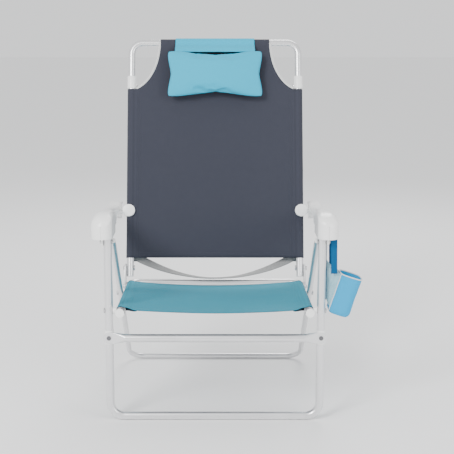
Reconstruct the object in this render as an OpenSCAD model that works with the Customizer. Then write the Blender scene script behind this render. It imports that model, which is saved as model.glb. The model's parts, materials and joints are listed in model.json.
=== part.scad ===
// Folding beach chair: aluminium tube frame, stretched slings, moulded armrests.
// X is across the chair, +Y runs from the front to the back, +Z is up.
// The origin is on the floor, midway under the front leg tubes.

/* [Frame tubes] */
// Outer diameter of the main tubes
tube_d = 22; // [18:1:28]
// Wall of every tube
tube_wall = 1.5; // [1:0.25:2.5]
// Outer diameter of the rear leg tube
rear_d = 16; // [14:1:18]

/* [Seat] */
// Distance from the middle of the chair to a seat rail
rail_x = 253; // [220:1:290]
// Height of the rails at the front pivots
pivot_z = 308; // [280:1:340]
// Rise of the seat frame from its rear to its front, in degrees
seat_rake = 2.9; // [0:0.1:6]
// Length of a rail behind the front pivots
rail_back = 400; // [370:5:440]
// Length of a rail ahead of the front pivots
rail_front = 33; // [25:1:45]
// Thickness of both slings
cloth = 1.4; // [1:0.1:2]
// Sag of the seat sling at its middle
seat_sag = 9; // [0:1:12]

/* [Front leg] */
// Height of the armrest pivots
arm_pivot_z = 497; // [470:1:520]
// Height of the crossbar
crossbar_z = 235; // [215:1:250]
// Bend radius of the floor bar's corners
foot_bend = 38; // [30:1:60]

/* [Rear leg] */
// Distance of the rear leg pivots behind the front pivots
rear_pivot_y = 240; // [225:1:260]

/* [Back] */
// Distance of the back hinge behind the front pivots
hinge_y = 383; // [370:1:395]
// Height of the back hinge
hinge_z = 337; // [330:1:345]
// Length of the back from its hinge to the top bar
back_len = 696; // [560:1:860]
// Lean of the upright back, in degrees from vertical
back_lean = 16.7; // [12:0.1:20]
// Recline travel, in degrees
recline_range = 25; // [15:1:25]
// Distance of the recline pins from the hinge
pin_u = 174; // [170:1:180]

/* [Pillow] */
// Width of the pillow
pillow_w = 300; // [240:5:340]
// Height of the pillow
pillow_h = 150; // [120:5:170]
// Thickness of the pillow
pillow_t = 50; // [30:5:60]

/* [Cup pouch] */
// Width of the pouch
pouch_w = 64; // [58:1:70]
// Height of the pouch
pouch_h = 112; // [90:1:116]

/* [Hidden] */
$fn = 48;

tube_r = tube_d / 2;
rear_r = rear_d / 2;
fit = 0.05;             // running clearance of a rivet shank, on the radius
face_gap = 0.1;         // between faces that turn on each other
shank_r = 4;            // every pivot rivet
head_r = 7;
head_t = 2;
sleeve_r = tube_r + cloth + 0.1;

washer_t = 10;          // spacer between rail and front leg
leg_x = rail_x + tube_r + washer_t + tube_r;
rear_x = rail_x + tube_r + 2.5 + rear_r;
back_x = rail_x + 3.5;
bracket_t = 5;
bracket_x = back_x + tube_r + 0.7;      // inner face of the hinge bracket

rear_pivot_z = pivot_z - rear_pivot_y * tan(seat_rake);
rear_tip_y = 30;        // upper ends of the rear leg, under the armrest hoods
rear_tip_z = arm_pivot_z - 3;
tip_t = 3;

// Armrest: plan and height
arm_wall = 2.5;
arm_in_front = leg_x - tube_r - 0.5 - arm_wall;   // inner face of the hood
arm_out = arm_in_front + 56;
arm_in_back = arm_in_front + 17;
nose_r = (arm_out - arm_in_front) / 2;
tail_r = (arm_out - arm_in_back) / 2;
arm_low = arm_pivot_z + 11;               // underside of the hood
lug_x = leg_x + tube_r + 0.4;             // inner face of the pivot lug
lug_t = 6;
lug_r = 11;

// Recline pins
pin_r = 5.5;
pin_x0 = back_x + 20;
pin_x1 = arm_in_back + 21;
rack_gap = 1;
arm_tail_y = pin_y(recline_range) + 22;
// The pin's place as the back reclines by a degrees
function pin_y(a, u = pin_u) = hinge_y + u * sin(back_lean + a);
function pin_z(a, u = pin_u) = hinge_z + u * cos(back_lean + a);

// Back sling: corner cut-outs are quarter ellipses about a point near each frame corner
cut_x = back_x + 12;
cut_u = back_len + 4;
cut_rx = 96;
cut_ry = 151;
bind_w = 6;
sling_low = 30;
flap_x = 123;
clamp_u = back_len - 124;
clamp_h = 38;

// Cup pouch
pouch_d = 70;
pouch_wall = 2;
pouch_tilt = 18;
pouch_x = arm_out + tube_r + 27;
pouch_y = 20;
pouch_z = arm_low - 106;

// Places both sides of the chair
module both() { children(); mirror([1, 0, 0]) children(); }
// A rod along +X
module rod_x(x0, x1, r) { translate([x0, 0, 0]) rotate([0, 90, 0]) cylinder(r = r, h = x1 - x0); }
// One quarter bend in the XZ plane, from pointing down to pointing along -X
module bend(half, up, bend_r, r) {
  translate([half - bend_r, 0, bend_r]) rotate([90, 0, 0]) rotate([0, 0, -90])
    rotate_extrude(angle = 90) translate([bend_r, 0]) circle(r = r);
}
// A U in the XZ plane: bar along X at z = 0, arms up to z = up
module u_rod(half, up, bend_r, r) {
  both() {
    translate([half, 0, bend_r]) cylinder(r = r, h = up - bend_r);
    bend(half, up, bend_r, r);
  }
  rod_x(-(half - bend_r), half - bend_r, r);
}
module u_tube(half, up, bend_r, r) {
  difference() {
    u_rod(half, up, bend_r, r);
    u_rod(half, up + 1, bend_r, r - tube_wall);
  }
}
// Places things in the back's own frame: z along the back, -y its front face
module on_back() { translate([0, hinge_y, hinge_z]) rotate([-back_lean, 0, 0]) children(); }
// Places things in the seat's own frame: -y forward, z up from the rails
module on_seat() { translate([0, 0, pivot_z]) rotate([-seat_rake, 0, 0]) children(); }
// A rivet along X with a head at each end
module rivet(x0, x1) {
  rod_x(x0, x1, shank_r);
  rod_x(x0 - head_t, x0, head_r);
  rod_x(x1, x1 + head_t, head_r);
}

/* Seat */
rear_pivot_run = rear_pivot_y / cos(seat_rake);
rail_bend = 26;         // bend radius of the seat frame's rear corners
module rail_rods(r, extra = 0) {
  translate([0, rail_back, 0]) rotate([90, 0, 0]) u_rod(rail_x, rail_back + rail_front + extra, rail_bend, r);
}
module seat_frame() {
  color("silver") on_seat() difference() {
    rail_rods(tube_r);
    rail_rods(tube_r - tube_wall, 1);
    for (y = [0, rear_pivot_run]) translate([0, y, 0]) both() rod_x(rail_x - 30, rail_x + 30, shank_r);
  }
}
module rail_caps() {
  color("white") on_seat() both() translate([rail_x, -rail_front, 0]) rotate([90, 0, 0]) {
    cylinder(r = tube_r + 1, h = 4);
    translate([0, 0, -12]) cylinder(r = tube_r - tube_wall, h = 12);
  }
}
sheet_x = rail_x - tube_r + 1;
sheet_front = -rail_front + 4;
sheet_back = rail_back - 30;
function sag_at(x) = -seat_sag * (1 - pow(x / sheet_x, 2));
module seat_sling() {
  steps = 12;
  xs = [for (i = [-steps : steps]) sheet_x * i / steps];
  upper = [for (x = xs) [x, sag_at(x) + cloth / 2]];
  lower = [for (i = [2 * steps : -1 : 0]) [xs[i], sag_at(xs[i]) - cloth / 2]];
  color("mediumturquoise") on_seat() difference() {
    union() {
      translate([0, sheet_back, 0]) rotate([90, 0, 0])
        linear_extrude(sheet_back - sheet_front) polygon(concat(upper, lower));
      both() translate([rail_x, sheet_back, 0]) rotate([90, 0, 0]) difference() {
        cylinder(r = sleeve_r, h = sheet_back - sheet_front - 24);
        translate([0, 0, -1]) cylinder(r = tube_r + 0.1, h = sheet_back - sheet_front);
      }
    }
    // Diagonal front corners
    both() translate([0, 0, -30]) linear_extrude(60)
      polygon([[sheet_x - 24, sheet_front - 1], [sheet_x + 2, sheet_front - 1],
        [sheet_x + 2, sheet_front + 24]]);
    both() translate([rail_x, sheet_back, 0]) rotate([90, 0, 0])
      cylinder(r = tube_r + 0.1, h = sheet_back - sheet_front);
    for (y = [0, rear_pivot_run]) translate([0, y, 0]) both() rod_x(rail_x - 30, rail_x + 30, head_r + 2.5);
  }
}
bracket_feet = [rail_back - 60, rail_back - rail_bend - 2];
module bracket_plate() {
  rotate([90, 0, 90]) linear_extrude(bracket_t) difference() {
    union() {
      polygon([[bracket_feet[0], -8], [bracket_feet[0], 8], [hinge_local[0] - 13, hinge_local[1]],
        [hinge_local[0] + 13, hinge_local[1]], [bracket_feet[1] + 8, 0], [bracket_feet[1], -8]]);
      translate(hinge_local) circle(r = 13);
      for (y = bracket_feet) translate([y, 0]) circle(r = 8);
    }
    translate(hinge_local) circle(r = shank_r + fit);
    for (y = bracket_feet) translate([y, 0]) circle(r = 3);
  }
}
// The hinge's place in the seat's own frame
hinge_local = [hinge_y * cos(seat_rake) - (hinge_z - pivot_z) * sin(seat_rake),
  hinge_y * sin(seat_rake) + (hinge_z - pivot_z) * cos(seat_rake)];
module hinge_brackets() {
  color("gainsboro") on_seat() both() {
    translate([bracket_x, 0, 0]) bracket_plate();
    for (y = bracket_feet) translate([0, y, 0]) difference() {
      rod_x(rail_x + tube_r - 1, bracket_x, 7);
      rod_x(rail_x + tube_r - 2, bracket_x + 1, 3);
      translate([rail_x, 30, 0]) rotate([90, 0, 0]) cylinder(r = sleeve_r, h = 60);
    }
  }
}
module bracket_rivets() {
  color("silver") on_seat() both() for (y = bracket_feet) translate([0, y, 0]) {
    rod_x(rail_x + sleeve_r + 0.5, bracket_x + bracket_t, 3);
    rod_x(bracket_x + bracket_t, bracket_x + bracket_t + head_t, 6);
  }
}
module leg_spacers() {
  color("white") translate([0, 0, pivot_z]) both() difference() {
    rod_x(rail_x + tube_r, leg_x - tube_r - face_gap, 9);
    rod_x(rail_x, leg_x, shank_r);
  }
}
module leg_rivets() {
  color("silver") translate([0, 0, pivot_z]) both()
    rivet(rail_x - tube_r, leg_x + tube_r + face_gap);
}
module rear_leg_rivets() {
  color("silver") translate([0, rear_pivot_y, rear_pivot_z]) both()
    rivet(rail_x - tube_r, rear_x + rear_r + face_gap);
}

/* Front leg */
leg_top = arm_pivot_z + 13;
module front_leg() {
  color("silver") difference() {
    translate([0, 0, tube_r]) u_tube(leg_x, leg_top - tube_r, foot_bend, tube_r);
    for (z = [pivot_z, arm_pivot_z]) translate([0, 0, z]) both() rod_x(leg_x - 20, leg_x + 20, shank_r + fit);
  }
}
module leg_top_plugs() {
  color("white") both() translate([leg_x, 0, leg_top - 6]) {
    cylinder(r = tube_r - tube_wall, h = 6);
    translate([0, 0, 6]) cylinder(r = tube_r - 0.5, h = 2);
  }
}
lap_t = 3;
lap_h = 30;
lap_y = -(tube_r + 1.5 + lap_t / 2);
bar_end = leg_x - 44;
module front_crossbar() {
  color("silver") translate([0, lap_y, crossbar_z]) {
    difference() {
      rod_x(-bar_end, bar_end, tube_r);
      rod_x(-bar_end + 1, bar_end - 1, tube_r - tube_wall);
    }
    both() difference() {
      union() {
        hull() {
          rod_x(bar_end - 0.5, bar_end, tube_r, $fn = 32);
          translate([leg_x - 14, -lap_t / 2, -lap_h / 2]) cube([2, lap_t, lap_h]);
        }
        translate([leg_x - 13, -lap_t / 2, -lap_h / 2]) cube([13, lap_t, lap_h]);
        translate([leg_x, lap_t / 2, 0]) rotate([90, 0, 0]) cylinder(r = lap_h / 2, h = lap_t);
      }
      translate([leg_x, 20, 0]) rotate([90, 0, 0]) cylinder(r = 3, h = 40);
      translate([leg_x, -lap_y, -20]) cylinder(r = tube_r + 1.5, h = 40);
    }
  }
}
module crossbar_sleeves() {
  color("white") both() translate([leg_x, 0, crossbar_z - 19]) difference() {
    cylinder(r = tube_r + 1.5, h = 38);
    translate([0, 0, -1]) cylinder(r = tube_r, h = 40);
    translate([0, 0, 19]) rotate([90, 0, 0]) cylinder(r = 3, h = 40);
  }
}
module crossbar_screws() {
  color("dimgray") both() translate([leg_x, 0, crossbar_z]) rotate([90, 0, 0]) {
    translate([0, 0, tube_r + 0.1]) cylinder(r = 2.9, h = lap_t + 1.6);
    translate([0, 0, -lap_y + lap_t / 2]) cylinder(r = 6, h = 2.4);
  }
}

/* Rear leg */
pivot_pt = [rear_pivot_y, rear_pivot_z];
tip_pt = [rear_tip_y, rear_tip_z];
rear_slope = atan2(tip_pt[1] - pivot_pt[1], pivot_pt[0] - tip_pt[0]);
rear_run = norm(tip_pt - pivot_pt) + (pivot_pt[1] - rear_r) / sin(rear_slope);
// Places things in the rear leg's own frame: z up along the leg from its floor bar
module on_rear_leg() {
  translate([0, tip_pt[0] + rear_run * cos(rear_slope), rear_r]) rotate([90 - rear_slope, 0, 0]) children();
}
module rear_leg() {
  color("silver") difference() {
    on_rear_leg() u_tube(rear_x, rear_run - tip_t, 45, rear_r);
    translate([0, pivot_pt[0], pivot_pt[1]]) both() rod_x(rear_x - 20, rear_x + 20, shank_r + fit);
  }
}
module rear_leg_tips() {
  color("white") on_rear_leg() both() translate([rear_x, 0, rear_run - tip_t]) {
    cylinder(r = rear_r, h = tip_t);
    translate([0, 0, -11]) cylinder(r = rear_r - tube_wall, h = 11);
  }
}

/* Armrests */
arm_rear_low = pin_z(0) - 14;
arm_top_rear = pin_z(0) + 21;
module arm_plan(w) {
  translate([arm_in_front + nose_r, -10]) circle(r = nose_r - w);
  polygon([[arm_in_front + w, -10], [arm_out - w, -10], [arm_out - w, arm_tail_y],
    [arm_in_back + w, arm_tail_y], [arm_in_back + w, 165], [arm_in_front + w, 75]]);
  translate([arm_in_back + tail_r, arm_tail_y]) circle(r = tail_r - w);
}
module arm_side(w, low) {
  polygon([[-60, arm_low + 20], [-32, arm_low + 44 - w], [-18, arm_low + 58 - w], [2, arm_low + 64 - w],
    [30, arm_low + 65 - w], [110, arm_low + 56 - w], [230, arm_low + 40 - w], [330, arm_top_rear + 6 - w],
    [420, arm_top_rear - w], [arm_tail_y, arm_top_rear - 3 - w], [arm_tail_y + 26, arm_top_rear - 9 - w],
    [arm_tail_y + 26, low ? -100 : arm_rear_low], [330, low ? -100 : arm_rear_low],
    [120, low ? -100 : arm_low - 4], [70, low ? -100 : arm_low], [-60, low ? -100 : arm_low]]);
}
module arm_block(w, low) {
  intersection() {
    linear_extrude(700) arm_plan(w);
    translate([arm_in_front - 20, 0, 0]) rotate([90, 0, 90]) linear_extrude(120) arm_side(w, low);
  }
}
module armrest_shell() {
  difference() {
    arm_block(0, false);
    arm_block(arm_wall, true);
    // The inner wall stops above the recline pin and the rear leg's end
    translate([arm_in_front - 20, 300, 0]) cube([38 + arm_wall, 400, pin_z(0) + pin_r + 4]);
  }
  // Pivot lug on the outer side of the leg
  difference() {
    union() {
      translate([0, 0, arm_pivot_z]) rod_x(lug_x, lug_x + lug_t, lug_r);
      translate([lug_x, -lug_r, arm_pivot_z]) cube([lug_t, 2 * lug_r, arm_low + 61 - arm_pivot_z]);
    }
    translate([0, 0, arm_pivot_z]) rod_x(lug_x - 1, lug_x + lug_t + 1, shank_r + fit);
  }
  // Notched rack above the recline pin
  difference() {
    translate([arm_in_back + arm_wall - 0.5, 0, 0]) rotate([90, 0, 90]) linear_extrude(21)
      polygon([[pin_y(0) - 14, pin_z(0)], [pin_y(recline_range) + 10, pin_z(recline_range)],
        [pin_y(recline_range) + 10, arm_top_rear - 7], [pin_y(0) - 14, arm_top_rear - 4]]);
    translate([0, hinge_y, hinge_z]) rod_x(pin_x0, arm_out, pin_u + pin_r + rack_gap, $fn = 180);
    for (a = [0 : recline_range / 3 : recline_range + 0.1])
      translate([0, pin_y(a, pin_u + 2.5), pin_z(a, pin_u + 2.5)]) rod_x(pin_x0, arm_out, pin_r + rack_gap);
  }
}
module armrest_left() { color("white") mirror([1, 0, 0]) armrest_shell(); }
module armrest_right() { color("white") armrest_shell(); }
module arm_rivets() {
  color("silver") translate([0, 0, arm_pivot_z]) both() {
    rod_x(leg_x - tube_r - face_gap, lug_x + lug_t + face_gap, shank_r);
    rod_x(leg_x - tube_r - face_gap - head_t, leg_x - tube_r - face_gap, 6);
    rod_x(lug_x + lug_t + face_gap, lug_x + lug_t + face_gap + head_t, 6);
  }
}

/* Cup pouch on the right armrest */
band_x = arm_out - 20;
band_low = pouch_z + 8;
module pouch_hanger() {
  color("steelblue") {
    for (y = [pouch_y - 27, pouch_y + 26]) translate([band_x, y, band_low])
      cube([20 - arm_wall - 0.3, cloth, arm_low + 16 - band_low]);
    translate([lug_x + 1, pouch_y - 6, pouch_z - 70]) cube([cloth, 30, arm_low + 86 - pouch_z]);
  }
}
module pouch_plan(w) {
  r = 14;
  for (sx = [-1, 1], sy = [-1, 1])
    translate([sx * (pouch_w / 2 - r), sy * (pouch_d / 2 - r)]) circle(r = r - w);
  square([pouch_w - 2 * r, pouch_d - 2 * w], center = true);
  square([pouch_w - 2 * w, pouch_d - 2 * r], center = true);
}
module pouch_body() {
  color("deepskyblue") translate([pouch_x, pouch_y, pouch_z]) rotate([0, pouch_tilt, 0])
    translate([0, 0, -pouch_h]) difference() {
      linear_extrude(pouch_h) pouch_plan(0);
      translate([0, 0, pouch_wall]) linear_extrude(pouch_h) pouch_plan(pouch_wall);
    }
}
module pouch_screws() {
  color("white") for (y = [pouch_y - 27, pouch_y + 26 + cloth]) translate([0, y, arm_low + 8])
    translate([0, y < pouch_y ? -2.2 : 0.1, 0]) translate([band_x + 9, 0, 0]) rotate([-90, 0, 0])
      cylinder(r = 5, h = 2.1);
}

/* Back */
module back_rivets() {
  color("silver") translate([0, hinge_y, hinge_z]) both() {
    rod_x(back_x - tube_r - face_gap, bracket_x + bracket_t + face_gap, shank_r);
    rod_x(back_x - tube_r - face_gap - 3, back_x - tube_r - face_gap, 8);
    rod_x(bracket_x + bracket_t + face_gap, bracket_x + bracket_t + face_gap + 3, 8);
  }
}
tail_u = 24;            // the back tubes' length below the hinge
module back_frame() {
  color("silver") on_back() difference() {
    translate([0, 0, back_len]) mirror([0, 0, 1]) u_tube(back_x, back_len + tail_u, 35, tube_r);
    both() rod_x(back_x - 20, back_x + 20, shank_r + fit);
  }
}
module back_tube_plugs() {
  color("white") on_back() both() translate([back_x, 0, -tail_u - 2]) {
    cylinder(r = tube_r - 0.3, h = 2);
    translate([0, 0, 2]) cylinder(r = tube_r - tube_wall, h = 8);
  }
}
function cut_pt(a, grow) = [cut_x - (cut_rx + grow) * cos(a), cut_u - (cut_ry + grow) * sin(a)];
cut_a0 = 2;
cut_a1 = acos((cut_x - back_x + sleeve_r) / (cut_rx + bind_w));
function cut_arc(grow) = [for (i = [0 : 16]) cut_pt(cut_a0 + (cut_a1 - cut_a0) * i / 16, grow)];
module back_sling() {
  arc = cut_arc(bind_w);
  right = concat([[back_x - tube_r - 0.2, sling_low]], [for (i = [16 : -1 : 0]) arc[i]],
    [[arc[0][0], back_len]]);
  left = [for (i = [len(right) - 1 : -1 : 0]) [-right[i][0], right[i][1]]];
  color("slategray") on_back() difference() {
    union() {
      translate([0, cloth / 2, 0]) rotate([90, 0, 0]) linear_extrude(cloth) polygon(concat(right, left));
      both() translate([back_x, 0, sling_low])
        cylinder(r = sleeve_r, h = cut_pt(cut_a1, bind_w)[1] - sling_low);
      translate([0, 0, back_len]) rod_x(-arc[0][0], arc[0][0], sleeve_r);
    }
    both() translate([back_x, 0, sling_low - 1]) cylinder(r = tube_r + 0.1, h = back_len);
    translate([0, 0, back_len]) rod_x(-arc[0][0] - 1, arc[0][0] + 1, tube_r + 0.1);
  }
}
module corner_bindings() {
  outer = cut_arc(bind_w - 0.1);
  inner = cut_arc(0);
  color("white") on_back() difference() {
    both() translate([0, cloth, 0]) rotate([90, 0, 0]) linear_extrude(2 * cloth)
      polygon(concat(outer, [for (i = [15 : -1 : 1]) inner[i]]));
    both() translate([back_x, 0, 0]) cylinder(r = sleeve_r + 0.05, h = back_len);
    translate([0, 0, back_len]) rod_x(-back_x, back_x, sleeve_r + 0.05);
  }
}
hub_r = 18.5;
hub_shift = 5;          // of the hub's disc from its tube, outward
collar_r = 15;
module recline_hubs() {
  color("white") on_back() both() translate([back_x, 0, pin_u]) difference() {
    union() {
      translate([0, 0, -13]) cylinder(r = collar_r, h = 26);
      translate([hub_shift, 4, 0]) rotate([90, 0, 0]) cylinder(r = hub_r, h = 24);
    }
    translate([0, 0, -30]) cylinder(r = sleeve_r + 0.05, h = 60);
    translate([-30, -cloth / 2 - 0.1, -30]) cube([30, cloth + 0.2, 60]);
  }
}
module recline_pins() {
  color("white") on_back() both() translate([0, 0, pin_u]) difference() {
    union() {
      rod_x(back_x + collar_r - 1, pin_x1, pin_r);
      rod_x(back_x + collar_r, back_x + hub_shift + hub_r + 3, pin_r + 2);
    }
    translate([back_x, 0, -30]) cylinder(r = collar_r + 0.05, h = 60);
    translate([back_x + hub_shift, 5, 0]) rotate([90, 0, 0]) cylinder(r = hub_r + 0.05, h = 30);
  }
}
module pillow() {
  r = 20;
  color("skyblue") on_back() translate([0, -sleeve_r - 1, back_len - 30 - pillow_h / 2]) rotate([90, 0, 0])
    linear_extrude(pillow_t) {
      for (sx = [-1, 1], sy = [-1, 1])
        translate([sx * (pillow_w / 2 - r), sy * (pillow_h / 2 - r)]) circle(r = r);
      square([pillow_w - 2 * r, pillow_h], center = true);
      square([pillow_w, pillow_h - 2 * r], center = true);
    }
}
flap_t = 3;
module pillow_flap() {
  color("skyblue") on_back() difference() {
    union() {
      translate([0, 0, back_len]) rod_x(-flap_x, flap_x, sleeve_r + 0.3 + flap_t);
      translate([-flap_x, -sleeve_r - 0.3 - flap_t, back_len - 28]) cube([2 * flap_x, flap_t, 28]);
      translate([-flap_x, sleeve_r + 0.3, back_len - 150]) cube([2 * flap_x, flap_t, 150]);
    }
    translate([0, 0, back_len]) rod_x(-flap_x - 1, flap_x + 1, sleeve_r + 0.3);
    translate([-flap_x - 1, -sleeve_r - 0.3, back_len - 200]) cube([2 * flap_x + 2, 2 * sleeve_r + 0.6, 200]);
  }
}
clamp_r = 13.5;
hook_y = 24;            // the towel bar's pivot behind the back tubes
bar_r = 4;
module towel_clamps() {
  color("white") on_back() both() translate([back_x, 0, clamp_u]) difference() {
    union() {
      translate([0, 0, -clamp_h / 2]) cylinder(r = clamp_r, h = clamp_h);
      translate([-3, 0, -10]) cube([11, hook_y, 20]);
      translate([-3, hook_y, 0]) rotate([0, 90, 0]) cylinder(r = 10, h = 11);
    }
    translate([0, 0, -30]) cylinder(r = tube_r + 0.1, h = 60);
    translate([-20, hook_y, 0]) rotate([0, 90, 0]) cylinder(r = bar_r + fit, h = 40);
  }
}
drop = 150;
module towel_bar() {
  pivot = [hinge_y + clamp_u * sin(back_lean) + hook_y * cos(back_lean),
    hinge_z + clamp_u * cos(back_lean) - hook_y * sin(back_lean)];
  color("silver") translate([0, pivot[0], pivot[1]]) {
    translate([0, 0, -drop]) u_rod(back_x - 14, drop - 10, 22, bar_r);
    both() translate([back_x - 4, 0, -10]) rotate([90, 0, 180]) rotate_extrude(angle = 90)
      translate([10, 0]) circle(r = bar_r);
    both() rod_x(back_x - 4, back_x + 10, bar_r);
  }
}
strap_w = 28;
strap_t = 2;
strap_x = back_x + 8;
strap_n = sleeve_r + 0.1 + strap_t / 2;
strap_drop = 64;
strap_flat = 0.9;       // the ends past this share of the strap lie flat behind the tubes
function hang(s) = max(0, 1 - pow(s / strap_flat, 2));
function strap_pt(s) = [strap_x * s, strap_n - 5.6 * hang(s), 34 - strap_drop * hang(s)];
function strap_turn(s) = 80 * pow(hang(s), 0.8);
function strap_ring(s) = let (c = strap_pt(s), a = strap_turn(s))
  [for (q = [[-1, -1], [1, -1], [1, 1], [-1, 1]])
    c + [0, q[0] * strap_t / 2 * cos(a) + q[1] * strap_w / 2 * sin(a),
      q[1] * strap_w / 2 * cos(a) - q[0] * strap_t / 2 * sin(a)]];
module carry_strap() {
  n = 36;
  at = concat([-1], [for (i = [0 : n - 2]) strap_flat * (2 * i / (n - 2) - 1)], [1]);
  rings = [for (s = at) strap_ring(s)];
  faces = concat([[0, 1, 2, 3]], [[4 * n + 3, 4 * n + 2, 4 * n + 1, 4 * n]],
    [for (i = [0 : n - 1], k = [0 : 3]) let (e = k < 2 ? 4 : 0)
      [4 * i + k, 4 * i + 4 + k, 4 * i + e + (k + 1) % 4]],
    [for (i = [0 : n - 1], k = [0 : 3]) let (e = k < 2 ? 0 : 4)
      [4 * i + e + k, 4 * i + 4 + (k + 1) % 4, 4 * i + (k + 1) % 4]]);
  color("gray") on_back() polyhedron([for (ring = rings, p = ring) p], faces);
}
module strap_rivets() {
  color("silver") on_back() both() translate([back_x, 0, 34]) rotate([-90, 0, 0])
    translate([0, 0, strap_n + strap_t / 2]) cylinder(r = 5, h = 2);
}

seat_frame();
rail_caps();
seat_sling();
hinge_brackets();
bracket_rivets();
leg_spacers();
leg_rivets();
rear_leg_rivets();
front_leg();
front_crossbar();
crossbar_sleeves();
crossbar_screws();
leg_top_plugs();
rear_leg();
rear_leg_tips();
arm_rivets();
armrest_left();
armrest_right();
pouch_hanger();
pouch_body();
pouch_screws();
back_rivets();
back_frame();
back_tube_plugs();
back_sling();
corner_bindings();
recline_hubs();
recline_pins();
pillow();
pillow_flap();
towel_clamps();
towel_bar();
carry_strap();
strap_rivets();
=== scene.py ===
"""Looks of a folding beach chair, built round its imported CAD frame. Lengths are in metres."""
import json
from math import acos, cos, hypot, pi, radians, sin, sqrt

import bmesh
import bpy
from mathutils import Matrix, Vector, noise


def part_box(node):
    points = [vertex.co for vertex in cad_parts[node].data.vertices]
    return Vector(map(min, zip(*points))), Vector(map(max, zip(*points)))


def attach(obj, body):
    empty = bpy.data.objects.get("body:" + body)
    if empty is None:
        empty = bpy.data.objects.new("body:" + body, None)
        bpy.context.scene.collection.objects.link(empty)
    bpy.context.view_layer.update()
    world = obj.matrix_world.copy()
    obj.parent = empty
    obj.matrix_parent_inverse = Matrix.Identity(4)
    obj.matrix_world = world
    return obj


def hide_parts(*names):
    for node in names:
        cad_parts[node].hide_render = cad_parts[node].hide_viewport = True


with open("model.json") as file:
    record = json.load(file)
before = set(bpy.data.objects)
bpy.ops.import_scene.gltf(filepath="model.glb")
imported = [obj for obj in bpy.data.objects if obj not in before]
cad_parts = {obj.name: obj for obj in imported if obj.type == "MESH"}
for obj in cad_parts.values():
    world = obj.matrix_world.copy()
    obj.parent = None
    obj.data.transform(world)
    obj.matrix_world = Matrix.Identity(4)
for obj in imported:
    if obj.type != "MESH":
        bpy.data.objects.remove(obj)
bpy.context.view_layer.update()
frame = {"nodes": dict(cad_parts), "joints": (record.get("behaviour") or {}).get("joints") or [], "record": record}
scene = bpy.context.scene

MM = 0.001
JOINTS = {j["name"]: j for j in frame["joints"]}

# ---------------------------------------------------------------- camera
CAM_BACK = 2.8          # camera's distance ahead of the front legs
CAM_HEIGHT = 1.072
CAM_DOWN = radians(10.83)
LENS = 85.4
FRAME_SHIFT = 0.0264317  # sideways, as a share of the view's width

camera = bpy.data.objects.new("camera", bpy.data.cameras.new("camera"))
scene.collection.objects.link(camera)
camera.location = (0, -CAM_BACK, CAM_HEIGHT)
camera.rotation_euler = (pi / 2 - CAM_DOWN, 0, 0)
camera.data.lens = LENS
camera.data.shift_x = FRAME_SHIFT
scene.camera = camera

# ---------------------------------------------------------------- sizes shared with the frame
LEAN = radians(16.7)
RAKE = radians(2.9)
HINGE = Vector(JOINTS["recline"]["pos_m"])
SEAT_AXIS = Vector(JOINTS["fold"]["pos_m"])
ARM_AXIS = Vector(JOINTS["arm_left_fold"]["pos_m"])
BACK_X = 256.5 * MM
RAIL_X = 253 * MM
BACK_LEN = 696 * MM
SLING_LOW = 30 * MM
SLEEVE_R = 12.1 * MM       # middle of the cloth that wraps a tube
SLEEVE_STEPS = 24
CLOTH = 1.1 * MM


def on_back(x, n, u):
    """A point by its place across the back, ahead of its plane, and up along it."""
    return Vector((x, HINGE.y + u * sin(LEAN) - n * cos(LEAN), HINGE.z + u * cos(LEAN) + n * sin(LEAN)))


def on_seat(x, s, n):
    """A point by its place across the seat, behind the front pivots, and above the rails."""
    return Vector((x, s * cos(RAKE) + n * sin(RAKE), SEAT_AXIS.z - s * sin(RAKE) + n * cos(RAKE)))


# ---------------------------------------------------------------- mesh helpers
def piece(name, verts, faces, smooth=True, uvs=None):
    """A mesh object at the origin, with an optional UV map of one pair for each vertex."""
    mesh = bpy.data.meshes.new(name)
    mesh.from_pydata([tuple(v) for v in verts], [], faces)
    mesh.update()
    if uvs:
        layer = mesh.uv_layers.new(name="cloth")
        for loop in mesh.loops:
            layer.data[loop.index].uv = uvs[loop.vertex_index]
    for poly in mesh.polygons:
        poly.use_smooth = smooth
    obj = bpy.data.objects.new(name, mesh)
    scene.collection.objects.link(obj)
    return obj


def outward(obj, merge=1e-6):
    """Merges doubles and turns a closed mesh's faces outwards."""
    bm = bmesh.new()
    bm.from_mesh(obj.data)
    bmesh.ops.remove_doubles(bm, verts=bm.verts, dist=merge)
    bmesh.ops.recalc_face_normals(bm, faces=bm.faces)
    bm.to_mesh(obj.data)
    bm.free()
    return obj


def shell_outward(obj, crown, merge=None):
    """Turns an open shell's faces outwards, judged by its highest face (crown) or its lowest."""
    bm = bmesh.new()
    bm.from_mesh(obj.data)
    if merge:
        bmesh.ops.remove_doubles(bm, verts=bm.verts, dist=merge)
    bmesh.ops.recalc_face_normals(bm, faces=bm.faces)
    pick, sign = (max, 1) if crown else (min, -1)
    end = pick(bm.faces, key=lambda f: f.calc_center_median().z)
    if end.normal.z * sign < 0:
        bmesh.ops.reverse_faces(bm, faces=bm.faces)
    bm.to_mesh(obj.data)
    bm.free()
    return obj


def settle(obj):
    """Turns an object with its modifiers into a plain mesh at the origin."""
    bpy.context.view_layer.update()
    graph = bpy.context.evaluated_depsgraph_get()
    mesh = bpy.data.meshes.new_from_object(obj.evaluated_get(graph), depsgraph=graph)
    obj.modifiers.clear()
    old = obj.data
    obj.data = mesh
    if isinstance(old, bpy.types.Mesh) and old.users == 0:
        bpy.data.meshes.remove(old)
    return obj


def modify(obj, kind, **values):
    """Adds a modifier with its values set."""
    mod = obj.modifiers.new(kind.lower(), kind)
    for key, value in values.items():
        setattr(mod, key, value)
    return mod


def dress(obj, *materials):
    """Gives a piece its materials, in slot order."""
    obj.data.materials.clear()
    for mat in materials:
        obj.data.materials.append(mat)
    return obj


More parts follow.
